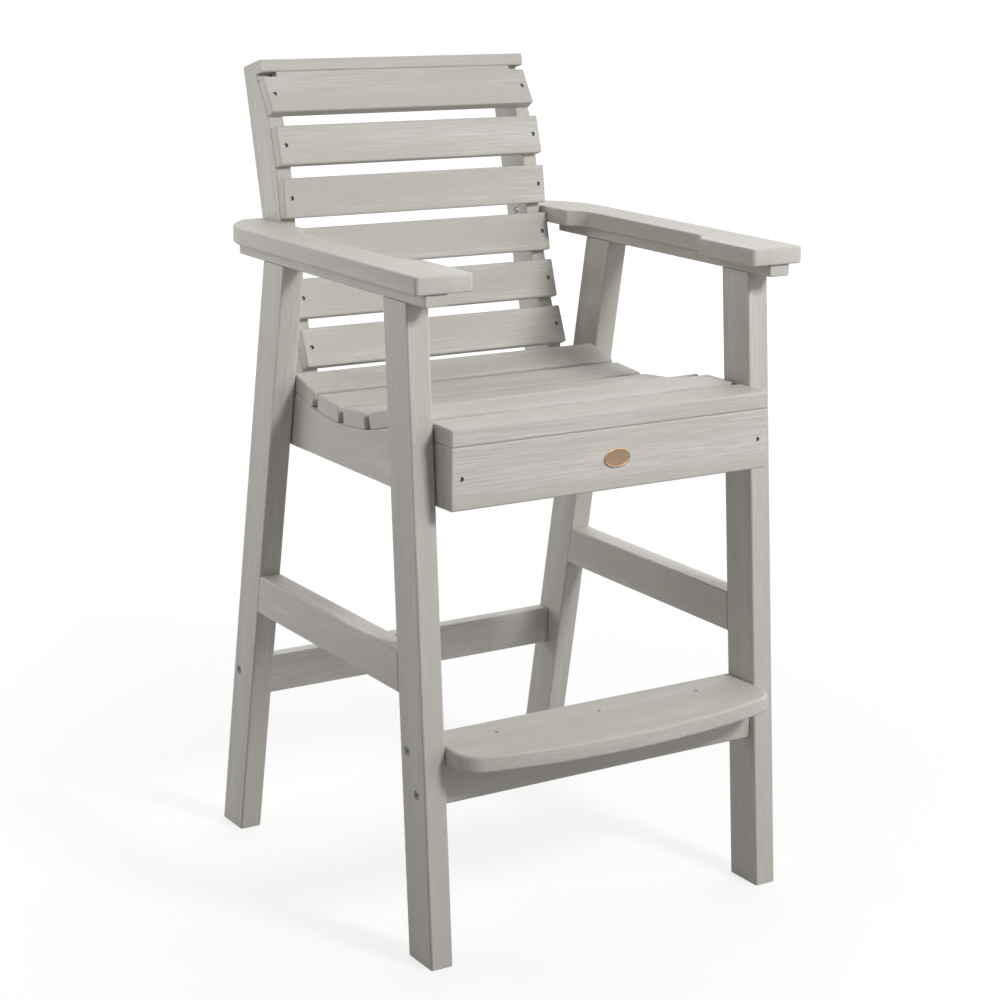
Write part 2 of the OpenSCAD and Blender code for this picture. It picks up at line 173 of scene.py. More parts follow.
def lumber(name, along, lean=0.0):
    """Grey plastic lumber with its grain along one axis, which leans back by some degrees."""
    finish = bpy.data.materials.new(name)
    finish.use_nodes = True
    nodes, links = finish.node_tree.nodes, finish.node_tree.links
    shader = nodes["Principled BSDF"]
    shader.inputs["Specular IOR Level"].default_value = 0.35
    place = nodes.new("ShaderNodeTexCoord")
    turned = nodes.new("ShaderNodeMapping")
    turned.inputs["Rotation"].default_value = (radians(lean), 0, 0)
    links.new(place.outputs["Object"], turned.inputs["Vector"])

    def streaks(run, across, detail, sharp):
        """Noise drawn out along the grain; run and across are its lines a metre."""
        drawn = nodes.new("ShaderNodeMapping")
        drawn.inputs["Scale"].default_value = [run if axis == along else across for axis in "XYZ"]
        noise = nodes.new("ShaderNodeTexNoise")
        noise.inputs["Scale"].default_value = 1.0
        noise.inputs["Detail"].default_value = detail
        noise.inputs["Roughness"].default_value = sharp
        links.new(turned.outputs["Vector"], drawn.inputs["Vector"])
        links.new(drawn.outputs["Vector"], noise.inputs["Vector"])
        return noise.outputs["Fac"]

    def maths(operation, first, second):
        node = nodes.new("ShaderNodeMath")
        node.operation = operation
        for socket, value in zip(node.inputs, (first, second)):
            if isinstance(value, (int, float)):
                socket.default_value = value
            else:
                links.new(value, socket)
        return node.outputs["Value"]

    def scaled(value, by):
        return maths("MULTIPLY", value, by)

    def ramp(factor, stops):
        node = nodes.new("ShaderNodeValToRGB")
        marks = node.color_ramp.elements
        for at, tint in stops[1:-1]:
            marks.new(at)
        for mark, (at, tint) in zip(marks, stops):
            mark.position, mark.color = at, (*tint, 1)
        links.new(factor, node.inputs["Fac"])
        return node.outputs["Color"]

    def blend(factor, base, tint):
        """Mixes a plain tint into a colour."""
        node = nodes.new("ShaderNodeMix")
        node.data_type = "RGBA"
        first, second = [s for s in node.inputs if s.type == "RGBA"]
        links.new(factor, node.inputs["Factor"])
        links.new(base, first)
        second.default_value = (*tint, 1)
        return [s for s in node.outputs if s.type == "RGBA"][0]

    broad = streaks(1.1, 16, 2, 0.5)
    brush = streaks(13, 520, 5, 0.66)
    hairs = streaks(40, 1500, 3, 0.6)
    pores = streaks(38, 620, 2, 0.5)

    sawn = nodes.new("ShaderNodeAttribute")
    sawn.attribute_name = "sawn"
    on_end = sawn.outputs["Fac"]

    tone = maths("ADD", scaled(brush, 0.55), scaled(broad, 0.45))
    pits = ramp(pores, ((0.60, (0, 0, 0)), (0.72, (1, 1, 1))))
    pitted = blend(scaled(pits, 0.16), ramp(tone, lumber_tones), pore_tone)
    links.new(blend(scaled(on_end, 0.6), pitted, sawn_tone), shader.inputs["Base Color"])
    links.new(maths("ADD", 0.50, scaled(brush, 0.22)), shader.inputs["Roughness"])

    grain = maths("ADD", scaled(brush, 0.7), scaled(hairs, 0.3))
    bump = nodes.new("ShaderNodeBump")
    bump.inputs["Distance"].default_value = 0.0009
    links.new(maths("SUBTRACT", grain, scaled(pits, 0.35)), bump.inputs["Height"])
    links.new(maths("SUBTRACT", 0.21, scaled(on_end, 0.13)), bump.inputs["Strength"])
    links.new(bump.outputs["Normal"], shader.inputs["Normal"])
    return finish


def fitted(bm, name, finish):
    """Moves a piece from millimetres behind the toes into the frame."""
    bmesh.ops.scale(bm, vec=(0.001, 0.001, 0.001), verts=bm.verts)
    bmesh.ops.translate(bm, vec=(0, toe, 0), verts=bm.verts)
    bmesh.ops.recalc_face_normals(bm, faces=bm.faces)
    mesh = bpy.data.meshes.new(name)
    bm.to_mesh(mesh)
    bm.free()
    mesh.materials.append(finish)
    piece = bpy.data.objects.new(name, mesh)
    bpy.context.scene.collection.objects.link(piece)
    return piece


def leg_board(foot_middle, lean):
    """Stands a long board at its lean and saws it off level, at the floor and under the arm."""
    unsawn, middle_up = 1200, 500
    bm = plank(unsawn, leg_w, leg_out - leg_in)
    middle = Vector(((leg_in + leg_out) / 2, foot_middle, 0)) + up(lean) * middle_up
    stand = Matrix((up(lean), -down(lean), Vector((1, 0, 0)))).transposed()
    bmesh.ops.transform(bm, matrix=Matrix.Translation(middle) @ stand.to_4x4(), verts=bm.verts)
    saw(bm, Vector((0, 0, 0)), Vector((0, 0, -1)), foot_eased)
    saw(bm, Vector((0, 0, leg_top)), Vector((0, 0, 1)))
    return bm


front_leg_lumber = lumber("front_leg_lumber", "Z", front_lean)
for side, hand in ((-1, "left"), (1, "right")):
    bm = leg_board(front_foot / 2, front_lean)
    for bolt in footrest_bolts:
        bore(bm, bolt, Vector((1, 0, 0)), bolt_seat_r, bolt_seat_depth)
    bmesh.ops.scale(bm, vec=(side, 1, 1), verts=bm.verts)
    leg = fitted(bm, f"front_leg_{hand}_board", front_leg_lumber)
    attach(leg, "root")
    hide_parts(f"front_leg_{hand}")

# Rear legs: the same board, leaning forward 9.9 degrees to meet the seat and the arms.
# Each is sawn level at both ends and bored for one bolt into the rear stretcher.
rear_lean = 9.9
foot_span = 657.5
rear_foot = leg_w / cos(radians(rear_lean))
rear_bolt = Vector((leg_out, 592.8, 269))

rear_leg_lumber = lumber("rear_leg_lumber", "Z", -rear_lean)
for side, hand in ((-1, "left"), (1, "right")):
    bm = leg_board(foot_span - rear_foot / 2, -rear_lean)
    bore(bm, rear_bolt, Vector((1, 0, 0)), bolt_seat_r, bolt_seat_depth)
    bmesh.ops.scale(bm, vec=(side, 1, 1), verts=bm.verts)
    leg = fitted(bm, f"rear_leg_{hand}_board", rear_leg_lumber)
    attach(leg, "root")
    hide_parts(f"rear_leg_{hand}")

# Side stretchers: short boards of the grey lumber on edge between the legs of a side. Their
# ends are sawn to the lean of the two legs and butt against them.
side_h, stretcher_w, unsawn = 439.5, 60, 800

level_lumber = lumber("level_lumber", "Y")
for side, hand in ((-1, "left"), (1, "right")):
    bm = plank(unsawn, stretcher_w, leg_out - leg_in)
    middle = Vector(((leg_in + leg_out) / 2, foot_span / 2, side_h - stretcher_w / 2))
    on_edge = Matrix(((0, 1, 0), (0, 0, 1), (1, 0, 0))).transposed()
    bmesh.ops.transform(bm, matrix=Matrix.Translation(middle) @ on_edge.to_4x4(), verts=bm.verts)
    saw(bm, Vector((0, front_foot, 0)), -down(front_lean))
    saw(bm, Vector((0, foot_span - rear_foot, 0)), down(-rear_lean))
    bmesh.ops.scale(bm, vec=(side, 1, 1), verts=bm.verts)
    stretcher = fitted(bm, f"side_stretcher_{hand}_board", level_lumber)
    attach(stretcher, "root")
    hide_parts(f"side_stretcher_{hand}")

# Rear stretcher: a board of the grey lumber on edge between the rear legs, drawn tight by a
# bolt at each end.
stretcher_t = 25
rear_h = 286
stretcher_rear = 605.3
screw_hole_r, screw_hole_depth = 3.4, 3.8


def cross_board(middle, a, width, thick, half, holes=(), eased=2.4):
    """Board across the chair, its width turned a degrees down toward the rear. Holes are
    bored along the middle of the face that its thickness points to."""
    bm = plank(2 * half, width, thick, eased=eased)
    for x in holes:
        bore(bm, Vector((x, 0, thick / 2)), Vector((0, 0, 1)), screw_hole_r, screw_hole_depth)
    turn = Matrix.Rotation(radians(-a), 3, "X")
    bmesh.ops.rotate(bm, cent=(0, 0, 0), matrix=turn, verts=bm.verts)
    bmesh.ops.translate(bm, vec=middle, verts=bm.verts)
    return bm


cross_lumber = lumber("cross_lumber", "X")
bm = cross_board(Vector((0, stretcher_rear - stretcher_t / 2, rear_h - stretcher_w / 2)), 90,
                 stretcher_w, stretcher_t, leg_in)
stretcher = fitted(bm, "rear_stretcher_board", cross_lumber)
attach(stretcher, "root")
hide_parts("rear_stretcher")

# Footrest rail: an upright board of the grey lumber between the front legs, held by a bolt
# at each end. The footrest lies on it.
foot_top, foot_t = 315, 25
foot_rail_h = 61
foot_rail_front = 32.2

foot_rail_middle = foot_top - foot_t - foot_rail_h / 2
bm = cross_board(Vector((0, foot_rail_front + stretcher_t / 2, foot_rail_middle)), 90,
                 foot_rail_h, stretcher_t, leg_in)
rail = fitted(bm, "footrest_rail_board", cross_lumber)
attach(rail, "root")
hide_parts("footrest_rail")

# Footrest: one wide board of the grey lumber, its front edge sawn to a shallow bow that runs
# into round corners and rounded over for the feet. Three screws hold it down on its rail,
# and a bolt through each leg holds its ends.
foot_rear, foot_d = 89.71, 146.5
foot_front = foot_rear - foot_d
bow = 34
corner_r = 40
foot_soft = 4.5
bow_r = (leg_in ** 2 + bow ** 2) / (2 * bow)
foot_screw_x, foot_screw_y = 175, 46
foot_screws = [Vector((side * foot_screw_x, foot_screw_y, foot_top)) for side in (-1, 0, 1)]


def sweep(bm, start, centre, angle, steps):
    """Draws an arc from a point about a centre and gives its first and last point."""
    first = bm.verts.new(start)
    made = bmesh.ops.spin(bm, geom=[first], cent=centre, axis=(0, 0, 1), angle=angle, steps=steps)
    return first, verts_of(made["geom_last"])[0]


def board_of_outline(bm, thick, soft):
    """Fills a level outline, gives it its thickness and rounds it over, top and bottom."""
    bmesh.ops.remove_doubles(bm, verts=bm.verts, dist=same_place)
    bmesh.ops.contextual_create(bm, geom=bm.edges[:])
    made = bmesh.ops.extrude_face_region(bm, geom=bm.faces[:])["geom"]
    bmesh.ops.translate(bm, vec=(0, 0, thick), verts=verts_of(made))
    bmesh.ops.recalc_face_normals(bm, faces=bm.faces)
    bm.normal_update()
    sharp = 0.5
    corners = [e for e in bm.edges if abs(e.verts[0].co.z - e.verts[1].co.z) > thick / 2
               and e.calc_face_angle() > sharp]
    soften(bm, corners, soft, 4)
    rims = [e for e in edges_of_ends(bm, "z")
            if not all(abs(f.normal.z) > same_way for f in e.link_faces)]
    soften(bm, rims, soft, 4)
    bmesh.ops.remove_doubles(bm, verts=bm.verts, dist=same_place)
    for face in bm.faces:
        face.smooth = abs(face.normal.z) < same_way
    return bm


bm = bmesh.new()
bow_y = foot_front + bow_r
corner_x = leg_in - corner_r
corner_y = bow_y - sqrt((bow_r - corner_r) ** 2 - corner_x ** 2)
outward = Vector((corner_x, corner_y - bow_y, 0)).normalized()
meet = Vector((corner_x, corner_y, 0)) + corner_r * outward
bow_angle = 2 * Vector((0, -1)).angle(Vector((meet.x, meet.y - bow_y)))
corner_angle = pi / 2 - bow_angle / 2
sweep(bm, (-meet.x, meet.y, 0), (0, bow_y, 0), bow_angle, 36)
right = sweep(bm, (meet.x, meet.y, 0), (corner_x, corner_y, 0), corner_angle, 10)
left = sweep(bm, (-leg_in, corner_y, 0), (-corner_x, corner_y, 0), corner_angle, 10)
back_right = bm.verts.new((leg_in, foot_rear, 0))
back_left = bm.verts.new((-leg_in, foot_rear, 0))
for ends in ((right[1], back_right), (back_right, back_left), (back_left, left[0])):
    bm.edges.new(ends)
board_of_outline(bm, foot_t, foot_soft)
bmesh.ops.translate(bm, vec=(0, 0, foot_top - foot_t), verts=bm.verts)
for screw in foot_screws:
    bore(bm, screw, Vector((0, 0, 1)), screw_hole_r, screw_hole_depth)
footrest = fitted(bm, "footrest_board_bowed", cross_lumber)
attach(footrest, "root")
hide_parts("footrest_board")

# Arm bearers: flat strips of the grey lumber over the tops of the two legs of a side, with
# the arm on top.
arm_h, arm_t = 969, 25
arm_low = arm_h - arm_t
bearer_t = 18
bearer_front, bearer_len = 31.5, 543

for side, hand in ((-1, "left"), (1, "right")):
    bm = plank(bearer_len, leg_out - leg_in, bearer_t)
    middle = Vector((side * (leg_in + leg_out) / 2, bearer_front + bearer_len / 2,
                     arm_low - bearer_t / 2))
    lengthways = Matrix.Translation(middle) @ Matrix.Rotation(pi / 2, 4, "Z")
    bmesh.ops.transform(bm, matrix=lengthways, verts=bm.verts)
    bearer = fitted(bm, f"arm_bearer_{hand}_strip", level_lumber)
    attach(bearer, "root")
    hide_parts(f"arm_bearer_{hand}")

# Seat side rails: thick boards of the grey lumber inside the legs, beside a dark joint. The
# top edge is scooped, with a flat sawn for each slat, and the rear end is sawn to the slope
# of the back.
seat_h, slat_t = 762, 25
slat_w = 64
seat_tilts = [0, 0, 15, 5, -5, -15]
seat_depth = 456
rail_in, apron_h, apron_t, apron_front = 233, 88, 25, 21.5
box_low = seat_h - slat_t - apron_h
back_lean, post_w = 15, 69.5
back_set, back_rise = 31, 19
rail_joint, rail_soft = 1.5, 2.0

gap = (seat_depth - sum(slat_w * cos(radians(a)) for a in seat_tilts)) / sum(
    cos(radians((a + b) / 2)) for a, b in zip(seat_tilts, seat_tilts[1:]))
seat_flats = []
point = Vector((0, apron_front, seat_h - slat_t))
for i, a in enumerate(seat_tilts):
    if i:
        point = point + gap * down((seat_tilts[i - 1] + a) / 2)
    seat_flats.append((point, a))
    point = point + slat_w * down(a)
seat_rear = point
back_start = seat_rear + Vector((0, back_set, back_rise))
heel = back_start + post_w * down(back_lean)


def back_line(z):
    """Point on the straight rear edge of the back at a height."""
    return heel + up(back_lean) * (z - heel.z) / cos(radians(back_lean))


def board_of_profile(points, x0, x1, soft):
    """Board whose faces are the given side view, from x0 to x1."""
    bm = bmesh.new()
    bm.faces.new([bm.verts.new((x0, p.y, p.z)) for p in points])
    made = bmesh.ops.extrude_face_region(bm, geom=bm.faces[:])["geom"]
    bmesh.ops.translate(bm, vec=(x1 - x0, 0, 0), verts=verts_of(made))
    bmesh.ops.recalc_face_normals(bm, faces=bm.faces)
    bm.normal_update()
    soften(bm, edges_of_ends(bm, "x"), soft, 3)
    return bm


apron_rear = apron_front + apron_t
rail_outline = [Vector((0, apron_rear, box_low)), Vector((0, apron_rear, seat_h - slat_t))]
rail_outline += [p for start, a in seat_flats for p in (start, start + slat_w * down(a))][1:]
rail_outline += [back_line(seat_rear.z), back_line(box_low)]
for side, hand in ((-1, "left"), (1, "right")):
    bm = board_of_profile(rail_outline, side * rail_in, side * (leg_in - rail_joint), rail_soft)
    rail = fitted(bm, f"seat_rail_{hand}_board", level_lumber)
    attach(rail, "root")
    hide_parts(f"seat_rail_{hand}")

# Back posts: boards of the grey lumber inside the seat rails, straight along the rear edge
# and curved in front, with a flat for each slat. A bolt through each post goes into the arm.
back_w, back_t = 60, 19
back_gap, cap_gap = 16.7, 13
low_lean, middle_lean, top_lean = 23, 8.5, 33
leans = [low_lean + (middle_lean - low_lean) * i / 3 for i in range(4)]
leans += [middle_lean + (top_lean - middle_lean) * (i / 2) ** 1.5 for i in (1, 2)]
post_t = 25
post_in = rail_in - post_t
arm_bolt_set = 26

back_flats = []
point = back_start
for i, a in enumerate(leans):
    if i:
        point = point + back_gap * up((leans[i - 1] + a) / 2)
    back_flats.append((point, a))
    point = point + back_w * up(a)
post_tip = point + cap_gap * up(leans[-1])
cap_at = heel + (post_tip - heel).dot(up(back_lean)) * up(back_lean)
arm_rear = back_line(arm_low).y
arm_bolt = Vector((post_in, arm_rear - arm_bolt_set, arm_h - arm_t / 2))

post_foot = back_start - up(back_lean) * (back_start.z - box_low) / cos(radians(back_lean))
post_outline = [back_line(box_low), post_foot]
post_outline += [p for start, a in back_flats for p in (start, start + back_w * up(a))]
post_soft = 1.4
post_outline += [p + post_soft * up(back_lean) for p in (post_tip, cap_at)]

post_lumber = lumber("post_lumber", "Z", back_lean)
for side, hand in ((-1, "left"), (1, "right")):
    bm = board_of_profile(post_outline, post_in, rail_in, post_soft)
    bore(bm, arm_bolt, Vector((-1, 0, 0)), bolt_seat_r, bolt_seat_depth)
    bmesh.ops.scale(bm, vec=(side, 1, 1), verts=bm.verts)
    post = fitted(bm, f"back_post_{hand}_board", post_lumber)
    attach(post, "root")
    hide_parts(f"back_post_{hand}")

# Rear seat rail: a board of the grey lumber between the feet of the posts, flush with their
# rear edges.
rear_rail_h, rear_rail_t = 70, 25

middle = (back_line(box_low) + rear_rail_h / 2 * up(back_lean)
          - rear_rail_t / 2 * down(back_lean))
bm = cross_board(middle, back_lean + 90, rear_rail_h, rear_rail_t, post_in)
rail = fitted(bm, "rear_seat_rail_board", cross_lumber)
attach(rail, "root")
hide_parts("rear_seat_rail")

# Apron: a board of the grey lumber on edge across the front ends of the side rails, screwed
# to each of them.
end_gap = 2
apron_screws = (-251, 251)
apron_middle = Vector((0, apron_front + apron_t / 2, box_low + apron_h / 2))

bm = cross_board(apron_middle, -90, apron_h, apron_t, leg_in - end_gap, apron_screws)
apron = fitted(bm, "front_apron_board", cross_lumber)
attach(apron, "root")
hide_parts("front_apron")

# Seat slats: six boards of the grey lumber side by side on the flats of the side rails. The
# front one laps the apron, and the last four follow the scoop.
for i, (start, a) in enumerate(seat_flats):
    middle = start + slat_w / 2 * down(a) + slat_t / 2 * up(a)
    bm = cross_board(middle, a, slat_w, slat_t, leg_in - end_gap)
    slat = fitted(bm, f"seat_slat_{i + 1}_board", cross_lumber)
    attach(slat, "root")
    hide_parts(f"seat_slat_{i + 1}")

# Arms: flat boards of the grey lumber on the bearers, each held to its post by a bolt. They
# are sawn narrower in the middle with curved steps, and with a long curve at the rear
# outside.
arm_w, waist_w = 89, 65
arm_past_leg, arm_soft = 55.5, 3.0
arm_front = leg_top * tan(radians(front_lean)) - arm_past_leg
arm_head, arm_heel = 131, 131
step_r, heel_r, heel_run, toe_r = 46, 130, 104.5, 6
outer = rail_in + arm_w
waist = outer - waist_w
step = sqrt(step_r ** 2 - (step_r - (waist - rail_in)) ** 2)
step_angle = Vector((1, 0)).angle(Vector((rail_in - waist + step_r, -step)))
heel_angle = Vector((1, 0)).angle(Vector((sqrt(heel_r ** 2 - heel_run ** 2), heel_run)))

for side, hand in ((-1, "left"), (1, "right")):
    bm = bmesh.new()
    waist_front, waist_rear = arm_front + arm_head + step, arm_rear - arm_heel - step
    heel_start, corner = arm_rear - heel_run, arm_front + toe_r
    front_step = sweep(bm, (rail_in, arm_front + arm_head, 0), (waist - step_r, waist_front, 0),
                       step_angle, 12)
    rear_step = sweep(bm, (waist, waist_rear, 0), (waist - step_r, waist_rear, 0), step_angle, 12)
    inner_rear = bm.verts.new((rail_in, arm_rear, 0))
    outer_rear = sweep(bm, (outer, heel_start, 0), (outer - heel_r, heel_start, 0), heel_angle, 20)
    outer_front = sweep(bm, (outer - toe_r, arm_front, 0), (outer - toe_r, corner, 0), pi / 2, 5)
    inner_front = sweep(bm, (rail_in, corner, 0), (rail_in + toe_r, corner, 0), pi / 2, 5)
    for ends in ((front_step[1], rear_step[0]), (rear_step[1], inner_rear),
                 (inner_rear, outer_rear[1]), (outer_rear[0], outer_front[1]),
                 (outer_front[0], inner_front[1]), (inner_front[0], front_step[0])):
        bm.edges.new(ends)
    board_of_outline(bm, arm_t, arm_soft)
    bmesh.ops.translate(bm, vec=(0, 0, arm_low), verts=bm.verts)
    bmesh.ops.scale(bm, vec=(side, 1, 1), verts=bm.verts)
    arm = fitted(bm, f"arm_{hand}_board", level_lumber)
    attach(arm, "root")
    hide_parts(f"arm_{hand}")

# Back slats: six thinner boards of the grey lumber across the front of the posts, one on
# each flat, each held by a countersunk screw into each post.
slat_screws = (-220.5, 220.5)
for i, (start, a) in enumerate(back_flats):
    middle = start + back_w / 2 * up(a) - back_t / 2 * down(a)
    bm = cross_board(middle, a - 90, back_w, back_t, rail_in, slat_screws)
    slat = fitted(bm, f"back_slat_{i + 1}_board", cross_lumber)
    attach(slat, "root")
    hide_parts(f"back_slat_{i + 1}")

# Upper back rail: a board of the grey lumber laid flat between the posts under the cap. Its
# front is sawn to a bevel that sits on the top slat, so that it closes the gap under the
# cap.
cap_w, cap_t = 60, 19
upper_rail_set, upper_rail_t, upper_rail_soft = 3, 19, 0.8
slat_up = up(leans[-1])
slat_top = back_flats[-1][0] + back_w * slat_up


def to_slat(point, way):
    """Slides a point along a way to the level of the top slat's upper edge."""
    return point - way * (point - slat_top).dot(slat_up) / way.dot(slat_up)


rail_front = cap_at - (cap_w - upper_rail_set) * down(back_lean)
rail_low = cap_at - upper_rail_t * up(back_lean)
upper_rail_outline = [rail_front, cap_at, rail_low, to_slat(rail_low, down(back_lean)),
                      to_slat(rail_front, up(back_lean))]

bm = board_of_profile(upper_rail_outline, -post_in, post_in, upper_rail_soft)
rail = fitted(bm, "upper_back_rail_board", cross_lumber)
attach(rail, "root")
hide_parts("upper_back_rail")

# Cap: a board of the grey lumber laid square across the tops of the posts, its ends flush
# with their outer faces and its end edges crisp.
cap_eased = 0.3

middle = cap_at + cap_t / 2 * up(back_lean) - cap_w / 2 * down(back_lean)
bm = cross_board(middle, back_lean, cap_w, cap_t, rail_in, eased=cap_eased)
cap = fitted(bm, "back_cap_board", cross_lumber)
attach(cap, "root")
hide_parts("back_cap")

# Bolts: stainless, with a round head and a hexagon socket, sunk in the legs and in the
# inner faces of the posts.
head_r, head_t, head_soft, head_sides = 6.5, 4, 0.9, 24
socket_r, socket_depth, socket_sides = 2.8, 2.4, 6
bolt_r, bolt_sunk, leg_bolt_len, arm_bolt_len = 4, 1, 72, 58


def stainless(name, roughness, dull, bright):
    """Steel with a fine blotch in its colour and its shine."""
    finish = bpy.data.materials.new(name)
    finish.use_nodes = True
    nodes, links = finish.node_tree.nodes, finish.node_tree.links
    shader = nodes["Principled BSDF"]
    shader.inputs["Metallic"].default_value = 1.0
    place = nodes.new("ShaderNodeTexCoord")
    blur = nodes.new("ShaderNodeTexNoise")
    blur.inputs["Scale"].default_value = 900
    blur.inputs["Detail"].default_value = 3
    links.new(place.outputs["Object"], blur.inputs["Vector"])
    tint = nodes.new("ShaderNodeValToRGB")
    low, high = tint.color_ramp.elements
    low.position, low.color = 0.35, (*dull, 1)
    high.position, high.color = 0.65, (*bright, 1)
    links.new(blur.outputs["Fac"], tint.inputs["Fac"])
    links.new(tint.outputs["Color"], shader.inputs["Base Color"])
    spread = 0.08
    rub = nodes.new("ShaderNodeMapRange")
    rub.inputs["To Min"].default_value = roughness - spread
    rub.inputs["To Max"].default_value = roughness + spread
    links.new(blur.outputs["Fac"], rub.inputs["Value"])
    links.new(rub.outputs["Result"], shader.inputs["Roughness"])
    return finish


def draw_out(bm, rim, steps):
    """Draws a rim down in steps, each a drop and a scale, and closes the last."""
    for drop, scale in steps:
        made = bmesh.ops.extrude_edge_only(bm, edges=rim)["geom"]
        bmesh.ops.translate(bm, vec=(0, 0, drop), verts=verts_of(made))
        bmesh.ops.scale(bm, vec=(scale, scale, 1), verts=verts_of(made))
        rim = edges_of(made)
    bmesh.ops.contextual_create(bm, geom=rim)


def bolt_of(length):
    """Points along Z, with the face of its head at the origin."""
    bm = bmesh.new()
    socket = bmesh.ops.create_circle(bm, segments=socket_sides, radius=socket_r)["verts"]
    bmesh.ops.subdivide_edges(bm, edges=edges_round(socket),
                              cuts=head_sides // socket_sides - 1)
    socket_rim = bm.edges[:]
    head_rim = edges_round(bmesh.ops.create_circle(bm, segments=head_sides, radius=head_r)["verts"])
    bmesh.ops.bridge_loops(bm, edges=socket_rim + head_rim)
    draw_out(bm, socket_rim, ((-socket_depth, 1),))
    draw_out(bm, head_rim, ((-head_t, 1), (0, bolt_r / head_r), (-length, 1)))
    bmesh.ops.recalc_face_normals(bm, faces=bm.faces)
    crown = [e for e in bm.edges if all(
        abs(v.co.z) < same_place and v.co.length > head_r - same_place for v in e.verts)]
    soften(bm, crown, head_soft, 3)
    return bm


steel = stainless("stainless_steel", 0.34, (0.30, 0.29, 0.28), (0.52, 0.51, 0.50))


def group(parts, name, finish):
    """Joins the meshes of like small pieces into one piece."""
    whole = bmesh.new()
    for bm in parts:
        loose = bpy.data.meshes.new("loose")
        bm.to_mesh(loose)
        bm.free()
        whole.from_mesh(loose)
        bpy.data.meshes.remove(loose)
    return fitted(whole, name, finish)


for name, places, x, out, length in (
        ("leg_bolts", footrest_bolts + [rear_bolt], leg_out - bolt_sunk, 1, leg_bolt_len),
        ("arm_bolts", [arm_bolt], post_in + bolt_sunk, -1, arm_bolt_len)):
    bolts = []
    for side in (-1, 1):
        for at in places:
            bm = bolt_of(length)
            turn = Matrix.Rotation(pi / 2 * out * side, 3, "Y")
            bmesh.ops.rotate(bm, cent=(0, 0, 0), matrix=turn, verts=bm.verts)
            bmesh.ops.translate(bm, vec=(side * x, at.y, at.z), verts=bm.verts)
            bolts.append(bm)
    piece = group(bolts, name + "_sunk", steel)
    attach(piece, "root")
    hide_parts(name)

# Screws: small steel screws, driven below the faces of the back slats, the apron and the footrest.
# Their heads are coloured near black, as painted shade for their deep recesses.
screw_r, screw_low_r, screw_t, screw_sunk = 3.2, 1.9, 2.4, 3
drive_set, drive_depth = 1.7, 1.0


def faces_up(bm):
    bm.normal_update()
    return [f for f in bm.faces if f.normal.z > same_way]


def screw_head(face, out):
    """A countersunk head with a round drive, sunk below a face that looks out."""
    bm = bmesh.new()
    bmesh.ops.create_cone(bm, cap_ends=True, segments=16, radius1=screw_low_r, radius2=screw_r,
                          depth=screw_t)
    bmesh.ops.translate(bm, vec=(0, 0, -screw_t / 2), verts=bm.verts)
    top = faces_up(bm)
    bmesh.ops.inset_region(bm, faces=top, thickness=drive_set)
    bmesh.ops.translate(bm, vec=(0, 0, -drive_depth), verts=top[0].verts)
    turn = out.to_track_quat("Z", "Y").to_matrix().to_4x4()
    seat = Matrix.Translation(face - out * screw_sunk) @ turn
    bmesh.ops.transform(bm, matrix=seat, verts=bm.verts)
    return bm


screws = []
apron_face = apron_middle - apron_t / 2 * down(0)
for x in apron_screws:
    screws.append(screw_head(apron_face + Vector((x, 0, 0)), -down(0)))
for start, a in back_flats:
    slat_face = start + back_w / 2 * up(a) - back_t * down(a)
    for x in slat_screws:
        screws.append(screw_head(slat_face + Vector((x, 0, 0)), -down(a)))
for at in foot_screws:
    screws.append(screw_head(at, Vector((0, 0, 1))))
# The near-black colour of the screw steel is painted shade, standing in for the shadow in the screw
# recesses.
painted_shade_steel = stainless("screw_steel_painted_shade", 0.5, (0.025, 0.024, 0.023), (0.06, 0.058, 0.055))
piece = group(screws, "screws", painted_shade_steel)
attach(piece, "root")

# Plate: a small plain oval of brushed copper with a raised rim, fixed flat to the front of
# the apron near its middle.
plate_w, plate_h, plate_t = 44, 27.5, 1.8
plate_x, plate_z = 2, 694
rim_w, rim_slope, rim_soft, field_depth = 1.9, 0.6, 0.5, 0.5

bm = bmesh.new()
bmesh.ops.create_circle(bm, cap_ends=True, segments=64, radius=0.5)
bmesh.ops.scale(bm, vec=(plate_w, plate_h, 1), verts=bm.verts)
made = bmesh.ops.extrude_face_region(bm, geom=bm.faces[:])["geom"]
bmesh.ops.translate(bm, vec=(0, 0, plate_t), verts=verts_of(made))
bmesh.ops.recalc_face_normals(bm, faces=bm.faces)
field = faces_up(bm)
bmesh.ops.inset_region(bm, faces=field, thickness=rim_w)
bmesh.ops.inset_region(bm, faces=field, thickness=rim_slope, depth=-field_depth)
bm.normal_update()
square = 1.2
outer_rim = [e for e in bm.edges
             if e.calc_face_angle() > square and all(v.co.z > plate_t / 2 for v in e.verts)]
soften(bm, outer_rim, rim_soft, 3)
upright = Matrix.Rotation(pi / 2, 3, "X")
bmesh.ops.rotate(bm, cent=(0, 0, 0), matrix=upright, verts=bm.verts)
bmesh.ops.translate(bm, vec=(plate_x, apron_front, plate_z), verts=bm.verts)

copper = bpy.data.materials.new("plate_copper")
copper.use_nodes = True
nodes, links = copper.node_tree.nodes, copper.node_tree.links
shader = nodes["Principled BSDF"]
shader.inputs["Metallic"].default_value = 1.0
place = nodes.new("ShaderNodeTexCoord")
stretch = nodes.new("ShaderNodeMapping")
stretch.inputs["Scale"].default_value = (60, 1400, 1400)
lines = nodes.new("ShaderNodeTexNoise")
lines.inputs["Scale"].default_value = 1
lines.inputs["Detail"].default_value = 4
tint = nodes.new("ShaderNodeValToRGB")
low, high = tint.color_ramp.elements
low.position, low.color = 0.3, (0.52, 0.35, 0.22, 1)
high.position, high.color = 0.7, (0.72, 0.51, 0.34, 1)
rub = nodes.new("ShaderNodeMapRange")
rub.inputs["To Min"].default_value, rub.inputs["To Max"].default_value = 0.26, 0.44
links.new(place.outputs["Object"], stretch.inputs["Vector"])
links.new(stretch.outputs["Vector"], lines.inputs["Vector"])
